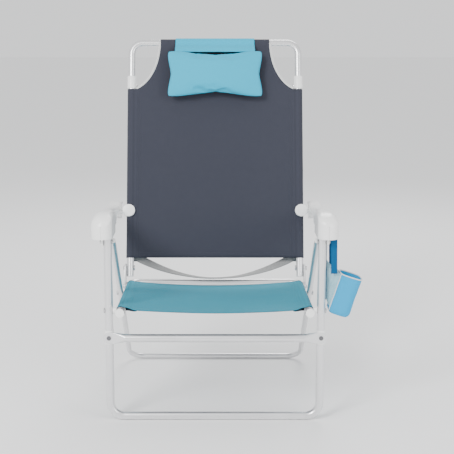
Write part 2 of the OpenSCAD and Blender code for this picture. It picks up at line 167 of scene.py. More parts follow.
def grid_faces(rows, cols, closed=False):
    """Quads over rows of cols points; closed joins each row's last point to its first."""
    faces = []
    for r in range(rows - 1):
        for c in range(cols if closed else cols - 1):
            d = (c + 1) % cols
            faces.append((r * cols + c, r * cols + d, (r + 1) * cols + d, (r + 1) * cols + c))
    return faces


def sweep(name, path, section, mat, closed_ends=True):
    """A closed section of (side, up) points, swept along a path with a steady side direction."""
    verts, count = [], None
    for i, p in enumerate(path):
        ahead = (path[min(i + 1, len(path) - 1)] - path[max(i - 1, 0)]).normalized()
        ring = section(i, p, ahead)
        count = len(ring)
        verts += ring
    faces = grid_faces(len(path), count, closed=True)
    if closed_ends:
        faces.append(tuple(range(count))[::-1])
        faces.append(tuple(range(len(verts) - count, len(verts))))
    return dress(outward(piece(name, verts, faces)), mat)


def round_cord(name, path, radius, mat, flat=1.0, sides=10, face=None):
    """A round or flattened cord along a path; face is the direction of its flat side."""
    def ring(i, p, ahead):
        up = (face or Vector((0, 0, 1)))
        up = (up - ahead * up.dot(ahead)).normalized()
        side = ahead.cross(up)
        return [p + side * radius * cos(2 * pi * k / sides) + up * radius * flat * sin(2 * pi * k / sides)
                for k in range(sides)]
    return sweep(name, path, ring, mat)


def smoothstep(a, b, t):
    """0 before a, 1 past b, and a smooth rise between."""
    t = min(1, max(0, (t - a) / (b - a)))
    return t * t * (3 - 2 * t)


# ---------------------------------------------------------------- node groups for finishes
def group(name, inputs, outputs):
    """An empty node group with number sockets, and its two end nodes."""
    tree = bpy.data.node_groups.new(name, "ShaderNodeTree")
    for label, default in inputs:
        sock = tree.interface.new_socket(label, in_out="INPUT", socket_type="NodeSocketFloat")
        sock.default_value = default
    for label in outputs:
        tree.interface.new_socket(label, in_out="OUTPUT", socket_type="NodeSocketFloat")
    return tree, tree.nodes.new("NodeGroupInput"), tree.nodes.new("NodeGroupOutput")


def math_node(tree, op, a, b=None, c=None):
    node = tree.nodes.new("ShaderNodeMath")
    node.operation = op
    for slot, value in enumerate((a, b, c)):
        if value is None:
            continue
        if isinstance(value, (int, float)):
            node.inputs[slot].default_value = value
        else:
            tree.links.new(value, node.inputs[slot])
    return node.outputs[0]


def vector_source(tree, use_uv, scale=(1, 1, 1), turn=(0, 0, 0)):
    coord = tree.nodes.new("ShaderNodeTexCoord")
    mapping = tree.nodes.new("ShaderNodeMapping")
    mapping.inputs["Scale"].default_value = scale
    mapping.inputs["Rotation"].default_value = turn
    tree.links.new(coord.outputs["UV" if use_uv else "Object"], mapping.inputs["Vector"])
    return mapping.outputs[0]


def noise_fac(tree, vector, scale, detail=3, rough=0.55):
    node = tree.nodes.new("ShaderNodeTexNoise")
    tree.links.new(vector, node.inputs["Vector"])
    for key, value in (("Scale", scale), ("Detail", detail), ("Roughness", rough)):
        if isinstance(value, (int, float)):
            node.inputs[key].default_value = value
        else:
            tree.links.new(value, node.inputs[key])
    return node.outputs["Fac"]


def plain_weave_group():
    """Over-and-under yarns from a UV map in metres. Puts out yarn height and a slub mask."""
    inputs = [("Yarns per metre", 700), ("Slub", 0.3)]
    tree, given, out = group("plain_weave", inputs, ["Height", "Slub mask"])
    uv = vector_source(tree, True)
    split = tree.nodes.new("ShaderNodeSeparateXYZ")
    tree.links.new(uv, split.inputs[0])
    angle = math_node(tree, "MULTIPLY", given.outputs[0], pi)
    across = math_node(tree, "MULTIPLY", split.outputs[0], angle)
    along = math_node(tree, "MULTIPLY", split.outputs[1], angle)
    warp = math_node(tree, "ABSOLUTE", math_node(tree, "SINE", across))
    weft = math_node(tree, "ABSOLUTE", math_node(tree, "SINE", along))
    check = math_node(tree, "MULTIPLY", math_node(tree, "COSINE", across), math_node(tree, "COSINE", along))
    over = math_node(tree, "GREATER_THAN", check, 0.0)
    under = math_node(tree, "SUBTRACT", 1.0, over)
    height = math_node(tree, "ADD", math_node(tree, "MULTIPLY", warp, over),
                       math_node(tree, "MULTIPLY", weft, under))
    streak = vector_source(tree, True, scale=(900, 14, 1))
    cross = vector_source(tree, True, scale=(14, 900, 1))
    slub = math_node(tree, "ADD", noise_fac(tree, streak, 1.0), noise_fac(tree, cross, 1.0))
    slub = math_node(tree, "MULTIPLY", math_node(tree, "SUBTRACT", slub, 1.0), given.outputs[1])
    tree.links.new(height, out.inputs[0])
    tree.links.new(slub, out.inputs[1])
    return tree


def soft_wear_group():
    """Broad and fine unevenness from object coordinates, for handling marks and dust."""
    tree, given, out = group("soft_wear", [("Broad scale", 6), ("Fine scale", 120)], ["Broad", "Fine"])
    place = vector_source(tree, False)
    tree.links.new(noise_fac(tree, place, given.outputs[0], detail=4), out.inputs[0])
    tree.links.new(noise_fac(tree, place, given.outputs[1], detail=2), out.inputs[1])
    return tree


WEAVE = plain_weave_group()
WEAR = soft_wear_group()


def use_group(tree, shared, **values):
    node = tree.nodes.new("ShaderNodeGroup")
    node.node_tree = shared
    for key, value in values.items():
        node.inputs[key.replace("_", " ")].default_value = value
    return node


def mix_color(tree, fac, a, b):
    node = tree.nodes.new("ShaderNodeMix")
    node.data_type = "RGBA"
    tree.links.new(fac, node.inputs["Factor"])
    for key, value in (("A", a), ("B", b)):
        sock = [s for s in node.inputs if s.name == key and s.type == "RGBA"][0]
        if isinstance(value, tuple):
            sock.default_value = (*value, 1)
        else:
            tree.links.new(value, sock)
    return [s for s in node.outputs if s.type == "RGBA"][0]


def bump(tree, height, distance, strength=1.0):
    node = tree.nodes.new("ShaderNodeBump")
    node.inputs["Distance"].default_value = distance
    node.inputs["Strength"].default_value = strength
    tree.links.new(height, node.inputs["Height"])
    return node.outputs[0]


def linear(r, g, b):
    """A linear colour from 0 to 255 screen values."""
    def one(v):
        v /= 255
        return v / 12.92 if v <= 0.04045 else ((v + 0.055) / 1.055) ** 2.4
    return (one(r), one(g), one(b))


def shaded(color, by):
    return tuple(min(1, max(0, v * by)) for v in color)


def new_material(name, **sockets):
    mat = bpy.data.materials.new(name)
    mat.use_nodes = True
    shader = mat.node_tree.nodes["Principled BSDF"]
    for key, value in sockets.items():
        shader.inputs[key.replace("_", " ")].default_value = value
    return mat, mat.node_tree, shader


def cloth(name, color, yarns=620, slub=0.5, sheen=0.08, rough=0.82, depth=0.00018, dark=0.72):
    """Woven polyester whose yarns follow the piece's own UV map, with the dips between yarns painted darker and
    the crowns lighter as painted shade.
    """
    mat, tree, shader = new_material(name, Sheen_Weight=sheen, Sheen_Roughness=0.5, Specular_IOR_Level=0.25)
    weave = use_group(tree, WEAVE, Yarns_per_metre=yarns, Slub=slub)
    wear = use_group(tree, WEAR, Broad_scale=5, Fine_scale=60)
    # Painted shade of the weave: the dips between yarns are darker and the yarn crowns lighter.
    yarn = mix_color(tree, weave.outputs["Height"], shaded(color, dark), shaded(color, 1.08))
    broad = math_node(tree, "ADD", wear.outputs["Broad"], weave.outputs["Slub mask"])
    fade = math_node(tree, "MULTIPLY_ADD", broad, 0.5, 0.05)
    toned = mix_color(tree, fade, yarn, shaded(color, 1.0))
    tree.links.new(toned, shader.inputs["Base Color"])
    tree.links.new(math_node(tree, "MULTIPLY_ADD", wear.outputs["Fine"], 0.14, rough - 0.07),
                   shader.inputs["Roughness"])
    tree.links.new(bump(tree, weave.outputs["Height"], depth), shader.inputs["Normal"])
    return mat


def drawn_tube(name, color, rough=0.28, metal=0.85, along=(1, 1, 1)):
    """Bright drawn aluminium: faint drawing lines, a little dulling and handling marks."""
    mat, tree, shader = new_material(name, Coat_Weight=0.15, Coat_Roughness=0.2)
    wear = use_group(tree, WEAR, Broad_scale=9, Fine_scale=260)
    lines = noise_fac(tree, vector_source(tree, False, scale=along), 340, detail=2)
    tone = mix_color(tree, wear.outputs["Broad"], shaded(color, 0.9), shaded(color, 1.06))
    tree.links.new(tone, shader.inputs["Base Color"])
    uneven = math_node(tree, "MULTIPLY_ADD", wear.outputs["Broad"], 0.16, rough - 0.08)
    tree.links.new(math_node(tree, "MULTIPLY_ADD", lines, 0.08, uneven), shader.inputs["Roughness"])
    shader.inputs["Metallic"].default_value = metal
    tree.links.new(bump(tree, lines, 0.00003, 0.6), shader.inputs["Normal"])
    return mat


def moulded(name, color, rough=0.3, grain=0.00004):
    """Glossy moulded plastic: fine mould texture, faint flow marks and a duller patch here and there."""
    mat, tree, shader = new_material(name, Specular_IOR_Level=0.5, Coat_Weight=0.2, Coat_Roughness=0.25)
    wear = use_group(tree, WEAR, Broad_scale=14, Fine_scale=900)
    tone = mix_color(tree, wear.outputs["Broad"], shaded(color, 0.955), shaded(color, 1.02))
    tree.links.new(tone, shader.inputs["Base Color"])
    tree.links.new(math_node(tree, "MULTIPLY_ADD", wear.outputs["Broad"], 0.16, rough - 0.08),
                   shader.inputs["Roughness"])
    tree.links.new(bump(tree, wear.outputs["Fine"], grain, 0.7), shader.inputs["Normal"])
    return mat


def ribbed_webbing(name, color):
    """Polypropylene webbing: ribs across its width and a paired-yarn chevron, with painted shade in the dips
    between ribs and lighter crowns.
    """
    mat, tree, shader = new_material(name, Sheen_Weight=0.2, Specular_IOR_Level=0.35)
    weave = use_group(tree, WEAVE, Yarns_per_metre=420, Slub=0.8)
    wear = use_group(tree, WEAR, Broad_scale=12, Fine_scale=90)
    # Painted shade of the ribs: the dips are much darker and the crowns lighter.
    tone = mix_color(tree, weave.outputs["Height"], shaded(color, 0.55), shaded(color, 1.2))
    tone = mix_color(tree, wear.outputs["Broad"], tone, shaded(color, 0.9))
    tree.links.new(tone, shader.inputs["Base Color"])
    rough = math_node(tree, "MULTIPLY_ADD", wear.outputs["Fine"], 0.2, 0.5)
    tree.links.new(rough, shader.inputs["Roughness"])
    tree.links.new(bump(tree, weave.outputs["Height"], 0.0004), shader.inputs["Normal"])
    return mat


def net(name, color):
    """Open mesh cloth, with real holes by alpha."""
    mat, tree, shader = new_material(name, Sheen_Weight=0.1, Specular_IOR_Level=0.3)
    uv = vector_source(tree, True, scale=(420, 420, 1), turn=(0, 0, pi / 4))
    cells = tree.nodes.new("ShaderNodeTexVoronoi")
    cells.inputs["Randomness"].default_value = 0.0
    cells.inputs["Scale"].default_value = 1.0
    tree.links.new(uv, cells.inputs["Vector"])
    solid = math_node(tree, "GREATER_THAN", cells.outputs["Distance"], 0.34)
    wear = use_group(tree, WEAR, Broad_scale=20, Fine_scale=200)
    tree.links.new(mix_color(tree, wear.outputs["Broad"], shaded(color, 0.85), shaded(color, 1.1)),
                   shader.inputs["Base Color"])
    rough = math_node(tree, "MULTIPLY_ADD", wear.outputs["Fine"], 0.15, 0.6)
    tree.links.new(rough, shader.inputs["Roughness"])
    tree.links.new(math_node(tree, "MULTIPLY_ADD", solid, 0.75, 0.25), shader.inputs["Alpha"])
    return mat


TEAL = linear(0, 136, 160)
TUBE = drawn_tube("aluminium_tube", (0.80, 0.80, 0.81))
RIVET = drawn_tube("rivet_aluminium", (0.62, 0.62, 0.63), rough=0.24)
SCREW = drawn_tube("screw_steel", (0.16, 0.16, 0.17), rough=0.35, metal=0.9)
BRACKET = drawn_tube("bracket_grey", (0.72, 0.72, 0.73), rough=0.4, metal=0.5)
WHITE = moulded("white_plastic", (0.92, 0.92, 0.91))
SEAT_CLOTH = cloth("seat_cloth", TEAL, yarns=520)
# Dark navy for the seat cloth's underside and corners: painted shade under the seat.
UNDERSIDE_SHADE_CLOTH = cloth("seat_underside_shade", linear(12, 52, 72), yarns=520)
BACK_CLOTH = cloth("back_cloth", linear(54, 56, 67), yarns=520, slub=0.9, dark=0.62)
PILLOW_CLOTH = cloth("pillow_cloth", linear(20, 174, 208), yarns=620, sheen=0.12)
TAPE = cloth("binding_tape", linear(240, 240, 238), yarns=900, slub=0.2, depth=0.0001)
POUCH_CLOTH = cloth("pouch_cloth", linear(0, 160, 212), yarns=620, sheen=0.05, rough=0.6)
BAND_CLOTH = cloth("pouch_band", linear(4, 82, 128), yarns=620)
WEBBING = ribbed_webbing("webbing", linear(150, 150, 150))
NET = net("pouch_net", linear(160, 206, 220))
THREAD = cloth("thread", linear(66, 70, 82), yarns=2000, slub=0.1, depth=0.00003)
THREAD_TEAL = cloth("thread_teal", linear(86, 160, 178), yarns=2000, slub=0.1, depth=0.00003)


# ---------------------------------------------------------------- repeated small pieces
def stitch_tree():
    """Geometry Nodes: thread stitches laid end to end along a path."""
    tree = bpy.data.node_groups.new("stitch_row", "GeometryNodeTree")
    face = tree.interface
    face.new_socket("Geometry", in_out="INPUT", socket_type="NodeSocketGeometry")
    pitch = face.new_socket("Pitch", in_out="INPUT", socket_type="NodeSocketFloat")
    size = face.new_socket("Thread", in_out="INPUT", socket_type="NodeSocketFloat")
    mat = face.new_socket("Material", in_out="INPUT", socket_type="NodeSocketMaterial")
    face.new_socket("Geometry", in_out="OUTPUT", socket_type="NodeSocketGeometry")
    n, link = tree.nodes, tree.links.new
    given, out = n.new("NodeGroupInput"), n.new("NodeGroupOutput")
    curve, even = n.new("GeometryNodeMeshToCurve"), n.new("GeometryNodeResampleCurve")
    even.mode = "LENGTH"
    link(given.outputs["Geometry"], curve.inputs[0])
    link(curve.outputs[0], even.inputs["Curve"])
    link(given.outputs["Pitch"], even.inputs["Length"])
    bead = n.new("GeometryNodeMeshUVSphere")
    bead.inputs["Segments"].default_value = 6
    bead.inputs["Rings"].default_value = 4
    link(given.outputs["Thread"], bead.inputs["Radius"])
    stretch = n.new("GeometryNodeTransform")
    stretch.inputs["Scale"].default_value = (1, 1, 4.2)
    link(bead.outputs["Mesh"], stretch.inputs["Geometry"])
    points = n.new("GeometryNodeInstanceOnPoints")
    link(even.outputs[0], points.inputs["Points"])
    link(stretch.outputs[0], points.inputs["Instance"])
    tangent, align = n.new("GeometryNodeInputTangent"), n.new("FunctionNodeAlignEulerToVector")
    align.axis = "Z"
    link(tangent.outputs[0], align.inputs["Vector"])
    link(align.outputs[0], points.inputs["Rotation"])
    real, paint = n.new("GeometryNodeRealizeInstances"), n.new("GeometryNodeSetMaterial")
    link(points.outputs[0], real.inputs[0])
    link(real.outputs[0], paint.inputs["Geometry"])
    link(given.outputs["Material"], paint.inputs["Material"])
    link(paint.outputs[0], out.inputs[0])
    return tree, {"pitch": pitch.identifier, "size": size.identifier, "mat": mat.identifier}


def dome_tree():
    """Geometry Nodes: a domed rivet head at every vertex, facing along that vertex's normal attribute."""
    tree = bpy.data.node_groups.new("domed_heads", "GeometryNodeTree")
    face = tree.interface
    face.new_socket("Geometry", in_out="INPUT", socket_type="NodeSocketGeometry")
    size = face.new_socket("Radius", in_out="INPUT", socket_type="NodeSocketFloat")
    mat = face.new_socket("Material", in_out="INPUT", socket_type="NodeSocketMaterial")
    face.new_socket("Geometry", in_out="OUTPUT", socket_type="NodeSocketGeometry")
    n, link = tree.nodes, tree.links.new
    given, out = n.new("NodeGroupInput"), n.new("NodeGroupOutput")
    ball = n.new("GeometryNodeMeshUVSphere")
    ball.inputs["Segments"].default_value = 24
    ball.inputs["Rings"].default_value = 12
    link(given.outputs["Radius"], ball.inputs["Radius"])
    flat = n.new("GeometryNodeTransform")
    flat.inputs["Scale"].default_value = (1, 1, 0.3)
    link(ball.outputs["Mesh"], flat.inputs["Geometry"])
    points = n.new("GeometryNodeInstanceOnPoints")
    link(given.outputs["Geometry"], points.inputs["Points"])
    link(flat.outputs[0], points.inputs["Instance"])
    facing = n.new("GeometryNodeInputNamedAttribute")
    facing.data_type = "FLOAT_VECTOR"
    facing.inputs["Name"].default_value = "facing"
    align = n.new("FunctionNodeAlignEulerToVector")
    align.axis = "Z"
    link(facing.outputs[0], align.inputs["Vector"])
    link(align.outputs[0], points.inputs["Rotation"])
    real, paint = n.new("GeometryNodeRealizeInstances"), n.new("GeometryNodeSetMaterial")
    smooth = n.new("GeometryNodeSetShadeSmooth")
    link(points.outputs[0], real.inputs[0])
    link(real.outputs[0], smooth.inputs[0])
    link(smooth.outputs[0], paint.inputs["Geometry"])
    link(given.outputs["Material"], paint.inputs["Material"])
    link(paint.outputs[0], out.inputs[0])
    return tree, {"size": size.identifier, "mat": mat.identifier}


STITCH, STITCH_IN = stitch_tree()
DOME, DOME_IN = dome_tree()


def bake_nodes(obj, tree, values):
    """Runs a Geometry Nodes tree on an object and keeps the result as its plain mesh."""
    mod = obj.modifiers.new("nodes", "NODES")
    mod.node_group = tree
    for key, value in values.items():
        mod[key] = value
    settle(obj)
    for poly in obj.data.polygons:
        poly.use_smooth = True
    return obj


def stitches(name, paths, body, mat, pitch=4.6 * MM, thread=0.42 * MM):
    """One object of stitch rows that rides on a body. Each path is a list of points on the cloth."""
    verts, edges = [], []
    for path in paths:
        first = len(verts)
        verts += [tuple(p) for p in path]
        edges += [(i, i + 1) for i in range(first, len(verts) - 1)]
    mesh = bpy.data.meshes.new(name)
    mesh.from_pydata(verts, edges, [])
    obj = bpy.data.objects.new(name, mesh)
    scene.collection.objects.link(obj)
    bake_nodes(obj, STITCH, {STITCH_IN["pitch"]: pitch, STITCH_IN["size"]: thread, STITCH_IN["mat"]: mat})
    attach(obj, body)
    return obj


def domed_heads(name, spots, radius, body, mat):
    """Rivet heads at (point, direction) spots."""
    mesh = bpy.data.meshes.new(name)
    mesh.from_pydata([tuple(p) for p, _ in spots], [], [])
    facing = mesh.attributes.new("facing", "FLOAT_VECTOR", "POINT")
    for i, (_, d) in enumerate(spots):
        facing.data[i].vector = tuple(d)
    obj = bpy.data.objects.new(name, mesh)
    scene.collection.objects.link(obj)
    bake_nodes(obj, DOME, {DOME_IN["size"]: radius, DOME_IN["mat"]: mat})
    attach(obj, body)
    return obj


# ---------------------------------------------------------------- back sling
CUT_X, CUT_U = BACK_X + 12 * MM, BACK_LEN + 4 * MM
CUT_RX, CUT_RU = 96 * MM, 151 * MM
BIND = 5 * MM
SEAM_X = BACK_X - 16 * MM
FRONT_N = 9.5 * MM          # how far the cloth's face stands ahead of the tubes' centres at the sides


def cut_point(a, grow):
    """(x, u) on a corner cut-out's quarter ellipse at angle a, grown outwards by grow."""
    return CUT_X - (CUT_RX + grow) * cos(a), CUT_U - (CUT_RU + grow) * sin(a)


CUT_A0 = radians(2)
CUT_A1 = acos((CUT_X - SEAM_X) / (CUT_RX + BIND))


def cloth_ripple(x, u):
    """Small tension waves: vertical pulls near the sides and a slack middle."""
    near_side = smoothstep(0.14, 0.25, abs(x))
    pull = noise.noise(Vector((x * 38, u * 5.5, 3.1))) * (0.35 + near_side)
    broad = noise.noise(Vector((x * 5, u * 4, 8.7)))
    return (0.7 * pull + 1.4 * broad) * MM


def back_face(x, u):
    """How far the back cloth's middle surface stands ahead of the back's plane."""
    across = min(1, abs(x) / SEAM_X)
    along = min(1, max(0, (u - SLING_LOW) / (BACK_LEN - SLING_LOW)))
    slack = 9 * MM * (1 - across ** 2) * sin(pi * along) ** 0.6
    return FRONT_N - slack + cloth_ripple(x, u) * (1 - across ** 6)


def make_back_sling():
    """The back cloth: a sleeve round each side tube, the face between, and a wrap over the top bar."""
    sleeve_from, sleeve_arc = radians(-140), radians(230)
    columns = []                # (x across or None, sleeve angle or None, top)
    for k in range(SLEEVE_STEPS + 1):       # from the seam behind, round the outside, to the front
        angle = sleeve_from + sleeve_arc * k / SLEEVE_STEPS
        columns.append((None, angle, cut_point(CUT_A1, BIND)[1]))
    for k in range(26):
        x, top = cut_point(CUT_A1 + (CUT_A0 - CUT_A1) * k / 25, BIND)
        columns.append((x, None, top))
    x_in = columns[-1][0]
    outer = len(columns)
    middle = 40
    for k in range(1, middle):
        columns.append((x_in * (1 - 2 * k / middle), None, None))
    columns += [(None if x is None else -x, a, t) for x, a, t in reversed(columns[:outer])]
    half = len(columns) // 2
    rows, wrap = 60, 14
    verts, uvs, index = [], [], {}
    run = 0.0
    for c, (x, angle, top) in enumerate(columns):
        side = 1 if c < half else -1
        if c:
            before = columns[c - 1][0]
            both_flat = x is not None and before is not None
            run += abs(x - before) if both_flat else SLEEVE_R * sleeve_arc / SLEEVE_STEPS
        over_top = top is None or (x is not None and abs(abs(x) - x_in) < 1e-9)
        reach = BACK_LEN if over_top else top
        for r in range(rows):
            u = SLING_LOW + (reach - SLING_LOW) * r / (rows - 1)
            if angle is not None:
                lean = SLEEVE_R + 0.3 * MM * noise.noise(Vector((angle * 2, u * 22, side)))
                px, n = side * (BACK_X + lean * cos(angle)), lean * sin(angle)
            else:
                px, n = x, back_face(x, u)
                to_bar = smoothstep(BACK_LEN - 60 * MM, BACK_LEN, u)
                n = n * (1 - to_bar) + SLEEVE_R * to_bar
            index[c, r] = len(verts)
            verts.append(on_back(px, n, u))
            uvs.append((run, u))
        if over_top:
            for k in range(1, wrap + 1):
                a = pi / 2 + radians(200) * k / wrap
                index[c, rows - 1 + k] = len(verts)
                verts.append(on_back(x, SLEEVE_R * sin(a), BACK_LEN - SLEEVE_R * cos(a)))
                uvs.append((run, BACK_LEN + SLEEVE_R * (a - pi / 2)))
    faces = []
    for c in range(len(columns) - 1):
        for r in range(rows - 1 + wrap):
            quad = [(c, r), (c + 1, r), (c + 1, r + 1), (c, r + 1)]
            if all(q in index for q in quad):
                faces.append(tuple(index[q] for q in quad))
    obj = piece("back_sling_cloth", verts, faces, uvs=uvs)
    modify(obj, "SOLIDIFY", thickness=CLOTH, offset=0)
    settle(obj)
    outward(obj, merge=1e-7)
    dress(obj, BACK_CLOTH)
    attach(obj, "back")
    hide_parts("back_sling")


make_back_sling()


def back_line(x, u0, u1, lift, steps=80):
    """Points up the back cloth's face at x."""
    out = []
    for k in range(steps + 1):
        u = u0 + (u1 - u0) * k / steps
        out.append(on_back(x, back_face(x, u) + lift, u))
    return out


def back_row(u, x1, lift, steps=90):
    """Points across the back cloth's face at u."""
    across = [x1 * (2 * k / steps - 1) for k in range(steps + 1)]
    return [on_back(x, back_face(x, u) + lift, u) for x in across]


LIFT = CLOTH / 2 + 0.15 * MM    # of a stitch row over the cloth's middle
side_top = cut_point(CUT_A1, BIND)[1]
rows = [back_row(SLING_LOW + d, SEAM_X - 2 * MM, LIFT) for d in (4 * MM, 16 * MM)]
for x in (SEAM_X - 5 * MM, SEAM_X - 12 * MM):
    rows += [back_line(s * x, SLING_LOW + 3 * MM, side_top - 22 * MM, LIFT) for s in (-1, 1)]
stitches("back_sling_stitches", rows, "back", THREAD)

# White tape bound over the cut-out edges, and its stitch row
tape_paths, tape_rows = [], []
for side in (-1, 1):
    path, row = [], []
    for k in range(41):
        a = CUT_A0 + (CUT_A1 - CUT_A0) * k / 40
        x, u = cut_point(a, BIND / 2)
        to_bar = smoothstep(BACK_LEN - 60 * MM, BACK_LEN, u)
        n = back_face(x, u) * (1 - to_bar) + SLEEVE_R * to_bar
        path.append(on_back(side * x, n, u))
        row.append(on_back(side * x, n + 1.9 * MM, u))
    tape_paths.append(path)
    tape_rows.append(row)
FACE = Vector((0, -cos(LEAN), sin(LEAN)))
for side, path in zip(("left", "right"), tape_paths):
    tape = round_cord(f"corner_binding_{side}", path, 3.2 * MM, TAPE, flat=0.52, face=FACE, sides=14)
    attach(tape, "back")
    if side == "left":
        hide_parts("corner_bindings")
stitches("binding_stitches", tape_rows, "back", THREAD, pitch=3.6 * MM, thread=0.3 * MM)


# ---------------------------------------------------------------- seat sling
SEAT_FRONT, SEAT_BACK = -29 * MM, 370 * MM
SEAT_SEAM = RAIL_X - 13 * MM
CORNER = 26 * MM


def seat_face(x, s):
    """Height of the seat cloth's middle surface above the rails' centres."""
    across = min(1, abs(x) / SEAT_SEAM)
    along = smoothstep(-0.03, 0.06, s) * (1 - 0.4 * smoothstep(0.30, 0.37, s))
    edge = 8.5 * MM
    sag = 13 * MM * (1 - across ** 2) * (0.75 + 0.25 * along)
    tense = (noise.noise(Vector((x * 5, s * 34, 1.2))) * (0.3 + smoothstep(0.1, 0.24, abs(x)))
             + 1.3 * noise.noise(Vector((x * 6, s * 5, 5.4))))
    return edge - sag + 0.7 * MM * tense * (1 - across ** 6)


def seat_start(x):
    """Where the cloth's front edge lies: straight, with its corners cut back."""
    return SEAT_FRONT + CORNER * smoothstep(0, 1, (abs(x) - (SEAT_SEAM - CORNER)) / CORNER) ** 0.8


def make_seat_sling():
    """The seat cloth: a sleeve round each rail and the sagging face between."""
    sleeve_from, sleeve_arc = radians(-150), radians(240)
    columns = [(None, sleeve_from + sleeve_arc * k / SLEEVE_STEPS) for k in range(SLEEVE_STEPS + 1)]
    columns += [(SEAT_SEAM * (1 - 2 * k / 90), None) for k in range(91)]
    columns += [(None, a) for _, a in reversed(columns[:SLEEVE_STEPS + 1])]
    rows = 56
    verts, uvs, run = [], [], 0.0
    for c, (x, angle) in enumerate(columns):
        side = 1 if c < len(columns) / 2 else -1
        if c:
            before = columns[c - 1][0]
            both_flat = x is not None and before is not None
            run += abs(x - before) if both_flat else SLEEVE_R * sleeve_arc / SLEEVE_STEPS
        for r in range(rows):
            if angle is not None:
                lean = SLEEVE_R + 0.25 * MM * noise.noise(Vector((angle * 2, r * 0.4, side + 4)))
                first = SEAT_FRONT + CORNER
                s = first + (SEAT_BACK - first) * r / (rows - 1)
                point = on_seat(side * (RAIL_X + lean * cos(angle)), s, lean * sin(angle))
            else:
                first = seat_start(x)
                s = first + (SEAT_BACK - first) * r / (rows - 1)
                point = on_seat(x, s, seat_face(x, s))
            verts.append(point)
            uvs.append((run, s))
    faces = [tuple(reversed(f)) for f in grid_faces(len(columns), rows)]
    obj = piece("seat_sling_cloth", verts, faces, uvs=uvs)
    # The underside is painted dark navy as shade under the seat, and the top is teal.
    dress(obj, UNDERSIDE_SHADE_CLOTH, SEAT_CLOTH)
    modify(obj, "SOLIDIFY", thickness=CLOTH, offset=0, material_offset=1)
    settle(obj)
    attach(obj, "seat")
    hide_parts("seat_sling")


def seat_point(x, s):
    """A point of a stitch row on the seat cloth."""
    return on_seat(x, s, seat_face(x, s) + LIFT)


make_seat_sling()
across_seat = [SEAT_SEAM * (2 * k / 90 - 1) for k in range(91)]
front_hem = [seat_point(x, seat_start(x) + 5 * MM) for x in across_seat]
inner_hem = [p + Vector((0, 9 * MM, 0)) for p in front_hem]
rear_hem = [seat_point(x, SEAT_BACK - 8 * MM) for x in across_seat]
seat_rows = [front_hem, inner_hem, rear_hem]
for x in (SEAT_SEAM - 4 * MM, SEAT_SEAM - 11 * MM):
    for side in (-1, 1):
        seat_rows.append([on_seat(side * x, s, seat_face(x, s) + LIFT)
                          for s in [2 * MM + (SEAT_BACK - 6 * MM) * k / 60 for k in range(61)]])
stitches("seat_sling_stitches", seat_rows, "seat", THREAD_TEAL)


def make_corner_shade_sheets():
    """Dark navy sheets just under the seat's front corners, where the hem folds back under itself: painted shade.
    """
    steps = 7
    verts = []
    for side in (-1, 1):
        for r in range(steps):
            for c in range(steps):
                t, q = c / (steps - 1), r / (steps - 1)
                x = SEAT_SEAM - CORNER * 1.2 + (CORNER * 1.35) * t
                s = seat_start(min(x, SEAT_SEAM)) + 2 * MM + q * 22 * MM
                drop = 2.2 * MM + 7 * MM * t * (1 - 0.6 * q)
                verts.append(on_seat(side * x, s, seat_face(min(x, SEAT_SEAM), s) - drop))
    one_side = grid_faces(steps, steps)
    faces = one_side + [tuple(i + steps * steps for i in f) for f in one_side]
    obj = piece("seat_corner_shade_sheets", verts, faces, uvs=[(v.x, v.y) for v in verts])
    modify(obj, "SOLIDIFY", thickness=0.9 * MM, offset=0)
    settle(obj)
    outward(obj, merge=1e-7)
    # Dark navy corner sheets: painted shade under the seat's front corners.
    dress(obj, UNDERSIDE_SHADE_CLOTH)
    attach(obj, "seat")


make_corner_shade_sheets()


# ---------------------------------------------------------------- pillow
PILLOW_W, PILLOW_H, PILLOW_T = 0.300, 0.150, 0.050
PILLOW_U = BACK_LEN - 30 * MM - PILLOW_H / 2
PILLOW_N = 13.5 * MM + PILLOW_T / 2
STUFFING_FRAMES = 24
STUFFING_REACH = 26 * MM    # how far stuffing may move a point of the case


def pillow_shell(nx=64, nz=34):
    """A flat pillow case, slightly narrower at its waist, as two panels joined at a seam."""
    verts = {}
    out, uvs, faces = [], [], []

    def put(i, j, face):
        edge = i in (0, nx) or j in (0, nz)
        key = (i, j, 0 if edge else face)
        if key in verts:
            return verts[key]
        a, b = 2 * i / nx - 1, 2 * j / nz - 1
        x = a * PILLOW_W / 2 * (1 - 0.035 * (1 - b * b)) * 0.985
        z = b * PILLOW_H / 2 * (1 - 0.03 * (1 - a * a)) * 0.985
        corner = (abs(a) ** 6) * (abs(b) ** 6)
        x *= 1 - 0.05 * corner
        z *= 1 - 0.08 * corner
        bulge = ((1 - a ** 4) * (1 - b ** 4)) ** 0.5
        n = face * bulge * (15 * MM if face > 0 else 8 * MM)
        verts[key] = len(out)
        out.append(Vector((x, n, z)))
        uvs.append((x, z))
        return verts[key]

    for face in (1, -1):
        for i in range(nx):
            for j in range(nz):
                quad = [put(i, j, face), put(i + 1, j, face), put(i + 1, j + 1, face), put(i, j + 1, face)]
                faces.append(tuple(quad))
    return out, uvs, faces


def stuff(obj):
    """Blows the pillow case up as stuffed cloth and keeps the result."""
    ways = obj.modifiers.new("stuffing", "CLOTH").settings
    ways.quality = 8
    ways.mass = 0.25
    ways.tension_stiffness = 18
    ways.compression_stiffness = 12
    ways.shear_stiffness = 6
    ways.bending_stiffness = 0.35
    ways.use_pressure = True
    ways.uniform_pressure_force = 3.2
    ways.shrink_min = -0.03
    ways.effector_weights.gravity = 0
    scene.frame_start, scene.frame_end = 1, STUFFING_FRAMES
    for f in range(1, STUFFING_FRAMES + 1):
        scene.frame_set(f)
    settle(obj)
    scene.frame_set(1)


